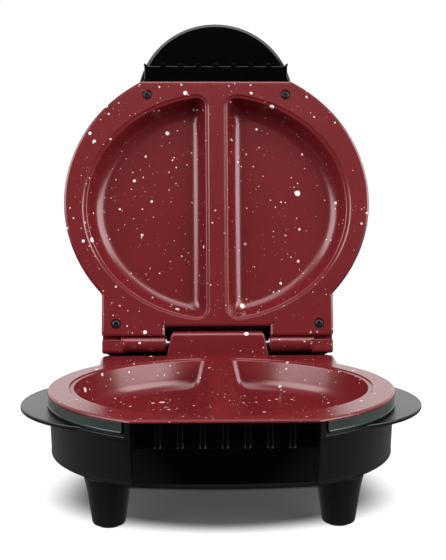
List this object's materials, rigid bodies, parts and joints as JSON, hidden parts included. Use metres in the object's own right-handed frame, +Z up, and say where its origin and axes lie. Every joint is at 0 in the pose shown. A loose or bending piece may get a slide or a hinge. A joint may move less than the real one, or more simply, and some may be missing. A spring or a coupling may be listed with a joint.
{
  "type": "omelette maker",
  "caption": "Countertop omelette maker with a hinged lid, half-moon pockets in each speckled plate, a crescent handle and side grips, shown open on tapered feet.",
  "frame": {"origin": "midway between the overall extents across and front to back, at the height of the foot pads' bottom faces, lid open as stored", "axes": "+Z up, front and handle-over-the-front side towards -Y, +X to the right seen from the front"},
  "size_m": [0.2308, 0.256, 0.2785],
  "materials": {
    "speckled_coating": "deep maroon non-stick coating with sparse cream speckles, satin",
    "satin_black": "moulded black, satin",
    "gloss_black": "moulded black, polished",
    "rubber": "black, matt",
    "black_screw": "blackened steel",
    "element_sheath": "dull heat-stained sheath",
    "ceramic": "off-white ceramic, matt",
    "red_lens": "clear red",
    "green_lens": "clear green",
    "lamp_glass": "clear glass",
    "steel": "bright zinc-plated or stainless steel"
  },
  "bodies": {
    "base": {"base_shell": "satin_black", "cord_gland": "satin_black", "foot_front_left": "satin_black", "foot_front_right": "satin_black", "foot_pad_front_left": "rubber", "foot_pad_front_right": "rubber", "foot_pad_rear_left": "rubber", "foot_pad_rear_right": "rubber", "foot_rear_left": "satin_black", "foot_rear_right": "satin_black", "foot_screw_front_left": "steel", "foot_screw_front_right": "steel", "foot_screw_rear_left": "steel", "foot_screw_rear_right": "steel", "front_panel": "gloss_black", "fuse_clip": "steel", "hinge_clip_left": "steel", "hinge_clip_right": "steel", "hinge_pin": "steel", "lower_clamp_screw_left": "steel", "lower_clamp_screw_right": "steel", "lower_element": "element_sheath", "lower_element_clamp": "steel", "lower_heat_shield": "steel", "lower_plate": "speckled_coating", "lower_plate_screw_front_left": "steel", "lower_plate_screw_front_right": "steel", "lower_plate_screw_rear_left": "steel", "lower_plate_screw_rear_right": "steel", "terminal_block": "ceramic", "terminal_screw_left": "steel", "terminal_screw_middle": "steel", "terminal_screw_right": "steel", "thermal_fuse": "steel", "thermostat": "ceramic"},
    "lid": {"lid_shell": "gloss_black", "power_lamp": "lamp_glass", "power_lens": "red_lens", "ready_lamp": "lamp_glass", "ready_lens": "green_lens", "upper_clamp_screw_left": "steel", "upper_clamp_screw_right": "steel", "upper_element": "element_sheath", "upper_element_clamp": "steel", "upper_heat_shield": "steel", "upper_plate": "speckled_coating", "upper_plate_screw_front_left": "black_screw", "upper_plate_screw_front_right": "black_screw", "upper_plate_screw_rear_left": "black_screw", "upper_plate_screw_rear_right": "black_screw"}
  },
  "joints": [
    {"name": "lid_hinge", "type": "hinge", "parent": "base", "child": "lid", "pos_m": [0, 0.04809, 0.0707], "axis": [1, 0, 0], "range_deg": [0, 105]}
  ]
}
